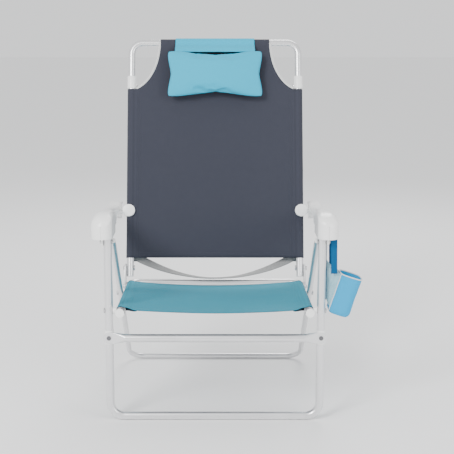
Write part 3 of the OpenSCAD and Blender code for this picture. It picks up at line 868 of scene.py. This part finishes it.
def make_pillow():
    """The pillow, stuffed, kept inside its box and laid on the back's face."""
    verts, uvs, faces = pillow_shell()
    obj = piece("pillow_case", verts, faces, uvs=uvs)
    outward(obj, merge=1e-7)
    rest = [v.co.copy() for v in obj.data.vertices]
    stuff(obj)
    middle = sum((v.co for v in obj.data.vertices), Vector()) / len(obj.data.vertices)
    half = PILLOW_T / 2 - 0.5 * MM
    thick = max(abs(v.co.y - middle.y) for v in obj.data.vertices)
    squeeze = min(1.0, half / max(thick, 1e-6))
    for v, home in zip(obj.data.vertices, rest):
        co = v.co - middle
        moved = co - home
        if moved.length > STUFFING_REACH:
            co = home + moved.normalized() * STUFFING_REACH
        co.y *= squeeze
        co.x = max(-PILLOW_W / 2, min(PILLOW_W / 2, co.x))
        co.z = max(-PILLOW_H / 2, min(PILLOW_H / 2, co.z))
        # Fine seam puckers all round the edge
        rim = max(abs(home.x) / (PILLOW_W / 2), abs(home.z) / (PILLOW_H / 2))
        pucker = sin((home.x + home.z * 1.3) * 520)
        lump = noise.noise(Vector((home.x * 16, home.z * 22, 4.4)))
        co.y += 0.9 * MM * pucker * smoothstep(0.80, 0.97, rim)
        co.y += 1.6 * MM * lump * (1 - smoothstep(0.6, 1, rim))
        # It rests flat on the cloth behind it
        n = max(-half, co.y)
        v.co = on_back(co.x, PILLOW_N + n, PILLOW_U + co.z)
    outward(obj, merge=1e-7)
    modify(obj, "SUBSURF", levels=1, render_levels=1)
    settle(obj)
    dress(obj, PILLOW_CLOTH)
    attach(obj, "back")
    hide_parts("pillow")


make_pillow()


# ---------------------------------------------------------------- pillow flap over the top bar
FLAP_X = 121 * MM


def flap_profile():
    """(n, u) points from the pillow's top seam, over the bar and down behind the back."""
    radius = 14.6 * MM
    pillow_top = PILLOW_U + PILLOW_H / 2
    start, end = Vector((34 * MM, pillow_top - 6 * MM)), Vector((radius, BACK_LEN - 4 * MM))
    bend_a, bend_b = Vector((33 * MM, pillow_top + 8 * MM)), Vector((radius + 2 * MM, BACK_LEN - 16 * MM))
    out = []
    for k in range(15):
        t = k / 14
        r = 1 - t
        out.append(r ** 3 * start + 3 * r ** 2 * t * bend_a + 3 * r * t ** 2 * bend_b + t ** 3 * end)
    for k in range(1, 17):
        a = radians(-16 + 196 * k / 16)
        out.append(Vector((radius * cos(a), BACK_LEN + radius * sin(a))))
    for k in range(1, 22):
        out.append(Vector((-radius, BACK_LEN - 148 * MM * k / 21)))
    return out


def make_flap():
    """The flap that carries the pillow, gathered at its front seam."""
    profile = flap_profile()
    cols = 72
    verts, uvs, run = [], [], 0.0
    for r, point in enumerate(profile):
        if r:
            run += (point - profile[r - 1]).length
        front = 1 - smoothstep(0, 22, r)
        for c in range(cols + 1):
            a = 2 * c / cols - 1
            x = a * FLAP_X * (1 + 0.012 * front)
            pleat = sin(a * 46 + 1.3) * smoothstep(0.55, 0.95, abs(a)) + 0.5 * sin(a * 21)
            n = point.x + (1.1 * MM * pleat + 0.6 * MM) * front
            slack = 0.8 * MM * noise.noise(Vector((a * 3, run * 30, 6.6)))
            out_dir = 1 if r < 22 else -1
            verts.append(on_back(x, n + slack * (0.3 if r > 14 else 1) * out_dir * 0.5, point.y))
            uvs.append((x, run))
    obj = piece("pillow_flap_cloth", verts, grid_faces(len(profile), cols + 1), uvs=uvs)
    modify(obj, "SOLIDIFY", thickness=1.6 * MM, offset=0)
    settle(obj)
    outward(obj, merge=1e-7)
    dress(obj, PILLOW_CLOTH)
    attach(obj, "back")
    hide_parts("pillow_flap")


make_flap()
flap_back = -15.6 * MM
box_x, box_low, box_high = FLAP_X - 7 * MM, BACK_LEN - 142 * MM, BACK_LEN - 116 * MM
flap_rows = [[on_back(box_x * (2 * k / 60 - 1), flap_back, u) for k in range(61)]
             for u in (box_low, box_high)]
flap_rows += [[on_back(side * box_x, flap_back, BACK_LEN - 20 * MM - 122 * MM * k / 40) for k in range(41)]
              for side in (-1, 1)]
stitches("flap_stitches", flap_rows, "back", THREAD_TEAL)


# ---------------------------------------------------------------- carry strap
STRAP_X, STRAP_W, STRAP_N, STRAP_FLAT = 264.5 * MM, 28 * MM, 13.6 * MM, 0.9


def strap_hang(s):
    """Share of the full drop at s: 1 in the middle and 0 on the flat ends."""
    return max(0, 1 - (s / STRAP_FLAT) ** 2)


def strap_ring(s):
    """Centre, across and thickness directions of the strap at s from -1 to 1."""
    hang = strap_hang(s)
    centre = on_back(STRAP_X * s, -STRAP_N + 5.6 * MM * hang, (34 - 64 * hang) * MM)
    turn = radians(80 * hang ** 0.8)
    zero = on_back(0, 0, 0)
    across = on_back(0, -sin(turn), cos(turn)) - zero
    thick = on_back(0, -cos(turn), -sin(turn)) - zero
    return centre, across, thick


def make_carry_strap():
    """Webbing behind the back, hung from its two riveted ends and turned edge on between them."""
    steps, width = 120, 8
    verts, uvs, run, last = [], [], 0.0, None
    for k in range(steps + 1):
        s = 2 * k / steps - 1
        centre, across, thick = strap_ring(s)
        if last is not None:
            run += (centre - last).length
        last = centre
        curl = 1.0 * MM * strap_hang(s)
        for w in range(width + 1):
            q = 2 * w / width - 1
            wave = noise.noise(Vector((s * 5, q, 9.2))) * strap_hang(s)
            lift = curl * (q * q - 0.4) + 0.5 * MM * wave
            verts.append(centre + across * q * (STRAP_W / 2 - 0.4 * MM) + thick * lift)
            uvs.append((run, q * STRAP_W / 2))
    obj = piece("carry_strap_webbing", verts, grid_faces(steps + 1, width + 1), uvs=uvs)
    modify(obj, "SOLIDIFY", thickness=1.7 * MM, offset=0)
    settle(obj)
    outward(obj, merge=1e-7)
    dress(obj, WEBBING)
    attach(obj, "back")
    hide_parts("carry_strap")


make_carry_strap()
strap_rows = []
for side in (-1, 1):
    for q in (-0.8, 0.8):
        row = []
        for k in range(20):
            centre, across, thick = strap_ring(side * (0.985 - 0.085 * k / 19))
            row.append(centre + across * q * STRAP_W / 2 * 0.95 + thick * 1.15 * MM)
        strap_rows.append(row)
        strap_rows.append([p - (strap_ring(0.97)[2]) * 2.3 * MM for p in row])
stitches("strap_stitches", strap_rows, "back", THREAD, pitch=3.4 * MM)


# ---------------------------------------------------------------- armrests
ARM_IN, ARM_OUT, ARM_IN_BACK = 271 * MM, 327 * MM, 288 * MM
ARM_LOW = ARM_AXIS.z + 11 * MM
ARM_WALL = 2.5 * MM
PIN_U, PIN_R = 174 * MM, 5.5 * MM


def pin_place(a, u=PIN_U):
    """(y, z) of the recline pin as the back reclines by a degrees."""
    return HINGE.y + u * sin(LEAN + radians(a)), HINGE.z + u * cos(LEAN + radians(a))


PIN_Y, PIN_Z = pin_place(0)
TAIL_Y = pin_place(25)[0] + 22 * MM
NOSE_R, TAIL_R = (ARM_OUT - ARM_IN) / 2, (ARM_OUT - ARM_IN_BACK) / 2
NOSE_Y = -10 * MM
# Millimetres behind the front pivot and above the hood's lower edge
ARM_TOP = [(-38, 36), (-34, 45), (-28, 52), (-18, 58), (2, 63.2), (30, 64.4), (110, 55.6), (230, 39.6),
           (330, 23.6)]


def curve_through(points, at):
    """Smooth value at a place along a list of (place, value) points."""
    if at <= points[0][0]:
        return points[0][1]
    for i in range(len(points) - 1):
        (x0, y0), (x1, y1) = points[i], points[i + 1]
        if at <= x1:
            t = (at - x0) / (x1 - x0)
            before = points[max(0, i - 1)]
            after = points[min(len(points) - 1, i + 2)]
            m0 = (y1 - before[1]) / (x1 - before[0]) * (x1 - x0)
            m1 = (after[1] - y0) / (after[0] - x0) * (x1 - x0)
            return ((2 * t ** 3 - 3 * t * t + 1) * y0 + (t ** 3 - 2 * t * t + t) * m0
                    + (3 * t * t - 2 * t ** 3) * y1 + (t ** 3 - t * t) * m1)
    return points[-1][1]


def arm_station(y):
    """Inner x, outer x, top, inner wall's edge and outer wall's edge of the armrest at y."""
    x_in = ARM_IN + (ARM_IN_BACK - ARM_IN) * smoothstep(75 * MM, 165 * MM, y)
    x_out = ARM_OUT
    if y < NOSE_Y:
        half = sqrt(max(0, NOSE_R ** 2 - (y - NOSE_Y) ** 2))
        x_in, x_out = (ARM_IN + ARM_OUT) / 2 - half, (ARM_IN + ARM_OUT) / 2 + half
    if y > TAIL_Y:
        half = sqrt(max(0, TAIL_R ** 2 - (y - TAIL_Y) ** 2))
        x_in, x_out = (ARM_IN_BACK + ARM_OUT) / 2 - half, (ARM_IN_BACK + ARM_OUT) / 2 + half
    rear_top = PIN_Z + 20.5 * MM
    tops = [(p * MM, ARM_LOW + h * MM) for p, h in ARM_TOP] + [
        (400 * MM, rear_top + 0.6 * MM), (470 * MM, rear_top - 1.2 * MM), (TAIL_Y, rear_top - 3.4 * MM),
        (TAIL_Y + 20 * MM, rear_top - 8 * MM)]
    top = curve_through(tops, y)
    rear_low = PIN_Z - 13.5 * MM
    low_out = ARM_LOW + (rear_low - ARM_LOW) * smoothstep(120 * MM, 330 * MM, y)
    low_in = low_out + (PIN_Z + PIN_R + 4.6 * MM - low_out) * smoothstep(285 * MM, 318 * MM, y)
    return x_in, x_out, top, low_in, low_out


def make_armrest(side, body, node):
    """A hollow moulded armrest, open below, lofted through its stations."""
    ys = [NOSE_Y - NOSE_R * cos(pi / 2 * k / 14) for k in range(14)]
    ys += [NOSE_Y + (TAIL_Y - NOSE_Y) * k / 96 for k in range(97)]
    ys += [TAIL_Y + TAIL_R * sin(pi / 2 * k / 12) for k in range(1, 13)]
    walls, arc, crown = 6, 9, 10
    verts = []
    for y in ys:
        x_in, x_out, top, low_in, low_out = arm_station(min(y, TAIL_Y + TAIL_R - 1e-5))
        width = max(x_out - x_in, 0.5 * MM)
        mid = (x_in + x_out) / 2
        half = width / 2
        room = max(2 * MM, (top - max(low_in, low_out)) * 0.85)
        arch = 1.6 * MM * min(1, width / (40 * MM))
        r_in, r_out = min(11 * MM, 0.3 * width, room), min(25 * MM, 0.6 * width, room)
        section = [(-half, low_in + (top - r_in - low_in) * k / walls) for k in range(walls)]
        section += [(-half + r_in * (1 - cos(pi / 2 * k / arc)), top - r_in * (1 - sin(pi / 2 * k / arc)))
                    for k in range(arc + 1)]
        section += [(-half + r_in + (width - r_in - r_out) * k / crown, top) for k in range(1, crown)]
        section += [(half - r_out * (1 - cos(pi / 2 * k / arc)), top - r_out * (1 - sin(pi / 2 * k / arc)))
                    for k in range(arc, -1, -1)]
        section += [(half, low_out + (top - r_out - low_out) * k / walls) for k in range(walls - 1, -1, -1)]
        for dx, z in section:
            z -= arch * (dx / half) ** 2 * smoothstep(top - 8 * MM, top, z)
            verts.append(Vector((side * (mid + dx), y, z)))
    count = len(section)
    faces = grid_faces(len(ys), count)
    obj = piece(node + "_shell", verts, faces)
    shell_outward(obj, crown=True, merge=2e-5)
    modify(obj, "SOLIDIFY", thickness=ARM_WALL, offset=-1, use_quality_normals=True)
    modify(obj, "BEVEL", width=0.5 * MM, segments=2, limit_method="ANGLE", angle_limit=radians(55))
    settle(obj)
    for poly in obj.data.polygons:
        poly.use_smooth = True
    dress(obj, WHITE)
    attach(obj, body)
    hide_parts(node)


def prism_x(name, outline, x0, x1, mat, edge=0.6 * MM):
    """A plate across X from a (y, z) outline, with softened edges."""
    count = len(outline)
    verts = [(x, y, z) for x in (x0, x1) for y, z in outline]
    faces = [tuple(range(count)), tuple(range(2 * count - 1, count - 1, -1))]
    faces += [(i, (i + 1) % count, count + (i + 1) % count, count + i) for i in range(count)]
    obj = outward(piece(name, verts, faces, smooth=False))
    modify(obj, "BEVEL", width=edge, segments=2, limit_method="ANGLE", angle_limit=radians(50))
    settle(obj)
    return dress(obj, mat)


def rack_outline():
    """The notched rack: its lower edge clears the pin's path, with four deeper notches."""
    clear = PIN_R + 1 * MM
    reach = PIN_U + clear
    y0, y1 = PIN_Y - 14 * MM, pin_place(25)[0] + 10 * MM
    notches = [pin_place(25 * k / 3, PIN_U + 2.5 * MM) for k in range(4)]
    line = []
    for k in range(181):
        y = y0 + (y1 - y0) * k / 180
        z = HINGE.z + sqrt(reach ** 2 - (y - HINGE.y) ** 2)
        for ny, nz in notches:
            if abs(y - ny) < clear:
                z = max(z, nz + sqrt(clear ** 2 - (y - ny) ** 2))
        line.append((y, z))
    top = PIN_Z + 21 * MM
    return line + [(y1, top - 7 * MM), (y0, top - 4 * MM)]


RACK = rack_outline()
RACK_FROM, RACK_TO = ARM_IN_BACK + 2.2 * MM, ARM_IN_BACK + 22 * MM
LUG_R = 11 * MM
LUG_FROM, LUG_TO = 296.4 * MM, 302.4 * MM
LUG = [(LUG_R * cos(radians(180 + 9 * k)), ARM_AXIS.z + LUG_R * sin(radians(180 + 9 * k))) for k in range(21)]
LUG += [(LUG_R, ARM_LOW + 58 * MM), (-LUG_R, ARM_LOW + 58 * MM)]
for side, body in ((-1, "armrest_left"), (1, "armrest_right")):
    make_armrest(side, body, body)
    rack = prism_x(f"{body}_rack", RACK, side * RACK_FROM, side * RACK_TO, WHITE)
    lug = prism_x(f"{body}_lug", LUG, side * LUG_FROM, side * LUG_TO, WHITE)
    for extra in (rack, lug):
        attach(extra, body)


# ---------------------------------------------------------------- cup pouch
POUCH_AT = Vector((ARM_OUT + 38 * MM, 20 * MM, ARM_LOW - 106 * MM))
POUCH_W, POUCH_D, POUCH_H, POUCH_TURN = 64 * MM, 70 * MM, 112 * MM, radians(18)
POUCH_STEPS = 72                        # points round the pouch
POUCH_EDGES = {"front": 42, "rear": 30}     # which of them carry the piped edges


def in_pouch(x, y, z):
    """A point from the pouch's own place: z is 0 at its rim and negative below."""
    c, s = cos(POUCH_TURN), sin(POUCH_TURN)
    return POUCH_AT + Vector((x * c + z * s, y, z * c - x * s))


def pouch_ring(z, shrink=0.0, steps=POUCH_STEPS):
    """Points round the pouch at a height, with loose folds and gathers at the rim."""
    hx, hy = POUCH_W / 2 - shrink, POUCH_D / 2 - shrink
    out = []
    for k in range(steps):
        a = 2 * pi * k / steps
        c, s = cos(a), sin(a)
        x = hx * (abs(c) ** 0.55) * (1 if c > 0 else -1)
        y = hy * (abs(s) ** 0.55) * (1 if s > 0 else -1)
        fold = noise.noise(Vector((x * 32, y * 32, z * 26 + 2))) * 1.6 * MM
        gather = 0.8 * MM * sin(a * 14 + 1) * smoothstep(-0.03, 0, z)
        k_out = 1 - (1.2 * MM + abs(fold) + abs(gather)) / hypot(hx, hy)
        out.append(in_pouch(x * k_out, y * k_out, z))
    return out


def make_pouch():
    """The pouch's cloth shell, open at its rim and closed below."""
    levels = [0, -1.5, -4, -8, -14, -22, -32, -42, -52, -62, -72, -82, -92, -100, -106, -109.5, -111.2]
    verts, uvs = [], []
    for z in levels:
        slack = 2.2 * MM * sin(pi * -z * MM / POUCH_H) - 1.0 * MM
        shrink = max(0, slack) * 0.6 + (7 * MM * ((-z - 100) / 12) ** 2 if z < -100 else 0)
        ring = pouch_ring(z * MM, shrink)
        verts += ring
        uvs += [(k / POUCH_STEPS * 0.25, z * MM) for k in range(POUCH_STEPS)]
    faces = grid_faces(len(levels), POUCH_STEPS, closed=True)
    last = (len(levels) - 1) * POUCH_STEPS
    middle = len(verts)
    verts.append(in_pouch(0, 0, -111.4 * MM))
    uvs.append((0.125, -0.13))
    faces += [(last + k, last + (k + 1) % POUCH_STEPS, middle) for k in range(POUCH_STEPS)]
    obj = piece("pouch_cloth_shell", verts, faces, uvs=uvs)
    shell_outward(obj, crown=False)
    modify(obj, "SOLIDIFY", thickness=1.3 * MM, offset=-1)
    settle(obj)
    dress(obj, POUCH_CLOTH)
    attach(obj, "armrest_right")
    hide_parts("pouch_body")


make_pouch()
rim = pouch_ring(-1 * MM)
rim_cord = round_cord("pouch_rim_piping", rim + rim[:1], 1.7 * MM, TAPE, sides=8)
for label, k in POUCH_EDGES.items():
    edge = [pouch_ring(z * MM)[k] for z in range(-2, -108, -5)]
    cord = round_cord(f"pouch_{label}_edge_piping", edge, 1.5 * MM, TAPE, sides=8, face=Vector((0, 1, 0)))
    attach(cord, "armrest_right")
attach(rim_cord, "armrest_right")


def cloth_strip(name, path, half_width, across, mat, body, thickness=1.2 * MM, cols=8):
    """A flat band of cloth along a path, with a slight wave."""
    verts, uvs, run = [], [], 0.0
    for i, p in enumerate(path):
        if i:
            run += (p - path[i - 1]).length
        for c in range(cols + 1):
            q = 2 * c / cols - 1
            wave = 0.5 * MM * noise.noise(Vector((q * 2, run * 40, half_width * 90)))
            verts.append(p + across * q * half_width + across.cross(Vector((0, 0, 1))) * wave)
            uvs.append((q * half_width, run))
    obj = piece(name, verts, grid_faces(len(path), cols + 1), uvs=uvs)
    modify(obj, "SOLIDIFY", thickness=thickness, offset=0)
    settle(obj)
    outward(obj, merge=1e-7)
    dress(obj, mat)
    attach(obj, body)
    return obj


def line_points(a, b, steps):
    return [a.lerp(b, k / steps) for k in range(steps + 1)]


BAND_TOP, BAND_LOW = ARM_LOW + 15 * MM, POUCH_AT.z + 9 * MM
band_mid = ARM_OUT - 11.6 * MM
for label, y in (("front", -6.3 * MM), ("rear", 46.7 * MM)):
    a, b = Vector((band_mid, y, BAND_TOP)), Vector((band_mid + 2 * MM, y, BAND_LOW))
    band = cloth_strip(f"pouch_band_{label}", line_points(a, b, 24), 8.4 * MM, Vector((1, 0, 0)), BAND_CLOTH,
                       "armrest_right")
    if label == "front":
        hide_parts("pouch_hanger")
inner_x = 298.6 * MM
a, b = Vector((inner_x, 29 * MM, BAND_TOP)), Vector((inner_x, 29 * MM, POUCH_AT.z - 68 * MM))
inner = cloth_strip("pouch_band_inner", line_points(a, b, 30), 14.6 * MM, Vector((0, 1, 0)), BAND_CLOTH,
                    "armrest_right")


def make_net(label, y, ring_k):
    """A see-through gusset from the inner band to one edge of the pouch."""
    rows, cols = 22, 12
    verts, uvs = [], []
    edge = [pouch_ring(z * MM)[ring_k] for z in [-2 - 96 * r / (rows - 1) for r in range(rows)]]
    for r in range(rows):
        t = r / (rows - 1)
        inner_z = (POUCH_AT.z + 40 * MM) * (1 - t) + (POUCH_AT.z - 66 * MM) * t
        inner_pt = Vector((inner_x + 0.8 * MM, y, inner_z))
        for c in range(cols):
            q = c / (cols - 1)
            p = inner_pt.lerp(edge[r], q)
            p.z -= 5 * MM * sin(pi * q) * (1 - t)
            verts.append(p)
            uvs.append((q * 0.03, t * 0.11))
    obj = piece(f"pouch_net_{label}", verts, grid_faces(rows, cols), uvs=uvs)
    modify(obj, "SOLIDIFY", thickness=0.5 * MM, offset=0)
    settle(obj)
    outward(obj, merge=1e-7)
    dress(obj, NET)
    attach(obj, "armrest_right")


make_net("front", 15 * MM, POUCH_EDGES["front"])
make_net("rear", 43 * MM, POUCH_EDGES["rear"])


# ---------------------------------------------------------------- carried-over frame parts
def softened(node, mat, edge=0.8 * MM):
    """A merged copy of a frame part with rounded edges, which stands for it."""
    source = frame["nodes"][node]
    obj = bpy.data.objects.new(node + "_moulding", source.data.copy())
    scene.collection.objects.link(obj)
    bm = bmesh.new()
    bm.from_mesh(obj.data)
    bmesh.ops.remove_doubles(bm, verts=bm.verts, dist=2e-6)
    bmesh.ops.dissolve_limit(bm, angle_limit=radians(1), verts=bm.verts, edges=bm.edges)
    bm.to_mesh(obj.data)
    bm.free()
    modify(obj, "BEVEL", width=edge, segments=3, limit_method="ANGLE", angle_limit=radians(50),
           use_clamp_overlap=True)
    settle(obj)
    for poly in obj.data.polygons:
        poly.use_smooth = True
    dress(obj, mat)
    body = [name for name, nodes in frame["record"]["behaviour"]["bodies"].items() if node in nodes][0]
    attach(obj, body)
    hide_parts(node)


MOULDINGS = ("rail_caps", "leg_spacers", "crossbar_sleeves", "leg_top_plugs", "rear_leg_tips",
             "back_tube_plugs", "recline_hubs", "recline_pins", "towel_clamps", "pouch_screws")
for node in MOULDINGS:
    softened(node, WHITE)
softened("hinge_brackets", BRACKET, edge=0.6 * MM)
softened("crossbar_screws", SCREW, edge=0.6 * MM)

FINISHES = {
    TUBE: ("seat_frame", "front_leg", "front_crossbar", "rear_leg", "back_frame", "towel_bar"),
    RIVET: ("bracket_rivets", "leg_rivets", "rear_leg_rivets", "arm_rivets", "back_rivets", "strap_rivets"),
}
for mat, nodes in FINISHES.items():
    for node in nodes:
        mesh = frame["nodes"][node].data
        if not mesh.materials:
            mesh.materials.append(mat)
        for slot in frame["nodes"][node].material_slots:
            slot.material = mat


def heads(name, node, body, radius):
    """Domed heads at both ends of a frame part's rivets."""
    low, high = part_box(node)
    spots = []
    for side in (-1, 1):
        x = side * (high[0] - 0.1 * MM)
        spots.append((Vector((x, (low[1] + high[1]) / 2, (low[2] + high[2]) / 2)), Vector((side, 0, 0))))
    obj = domed_heads(name, spots, radius, body, RIVET)


heads("leg_rivet_domes", "leg_rivets", "seat", 6.6 * MM)
heads("rear_leg_rivet_domes", "rear_leg_rivets", "seat", 6.6 * MM)
heads("arm_rivet_domes", "arm_rivets", "front_leg", 5.7 * MM)
heads("back_rivet_domes", "back_rivets", "back_rivets", 7.6 * MM)


# ---------------------------------------------------------------- stage
FLOOR_HALF, FLOOR_Z = 30.0, -0.5 * MM
floor_mat, _, floor_shader = new_material("pale_floor", Roughness=0.9, Specular_IOR_Level=0.1)
floor_shader.inputs["Base Color"].default_value = (0.93, 0.93, 0.93, 1)
floor_corners = [(x * FLOOR_HALF, y * FLOOR_HALF, FLOOR_Z) for x, y in ((-1, -1), (1, -1), (1, 1), (-1, 1))]
floor = dress(piece("floor", floor_corners, [(0, 1, 2, 3)]), floor_mat)

world = bpy.data.worlds.new("studio")
scene.world = world
world.use_nodes = True
world.node_tree.nodes["Background"].inputs["Color"].default_value = (0.98, 0.99, 1.0, 1)
world.node_tree.nodes["Background"].inputs["Strength"].default_value = 1.15


def soft_light(name, place, target, size, power):
    """A round area light turned to its target."""
    data = bpy.data.lights.new(name, "AREA")
    data.shape = "DISK"
    data.size, data.energy = size, power
    obj = bpy.data.objects.new(name, data)
    obj.location = place
    obj.rotation_euler = (Vector(target) - Vector(place)).to_track_quat("-Z", "Y").to_euler()
    scene.collection.objects.link(obj)


soft_light("key", (-1.8, -2.6, 2.6), (0, 0.2, 0.5), 1.4, 130)
soft_light("fill", (2.4, -2.0, 1.6), (0, 0.2, 0.5), 1.8, 34)
soft_light("rim", (0.6, 2.8, 2.6), (0, 0.2, 0.6), 1.6, 45)
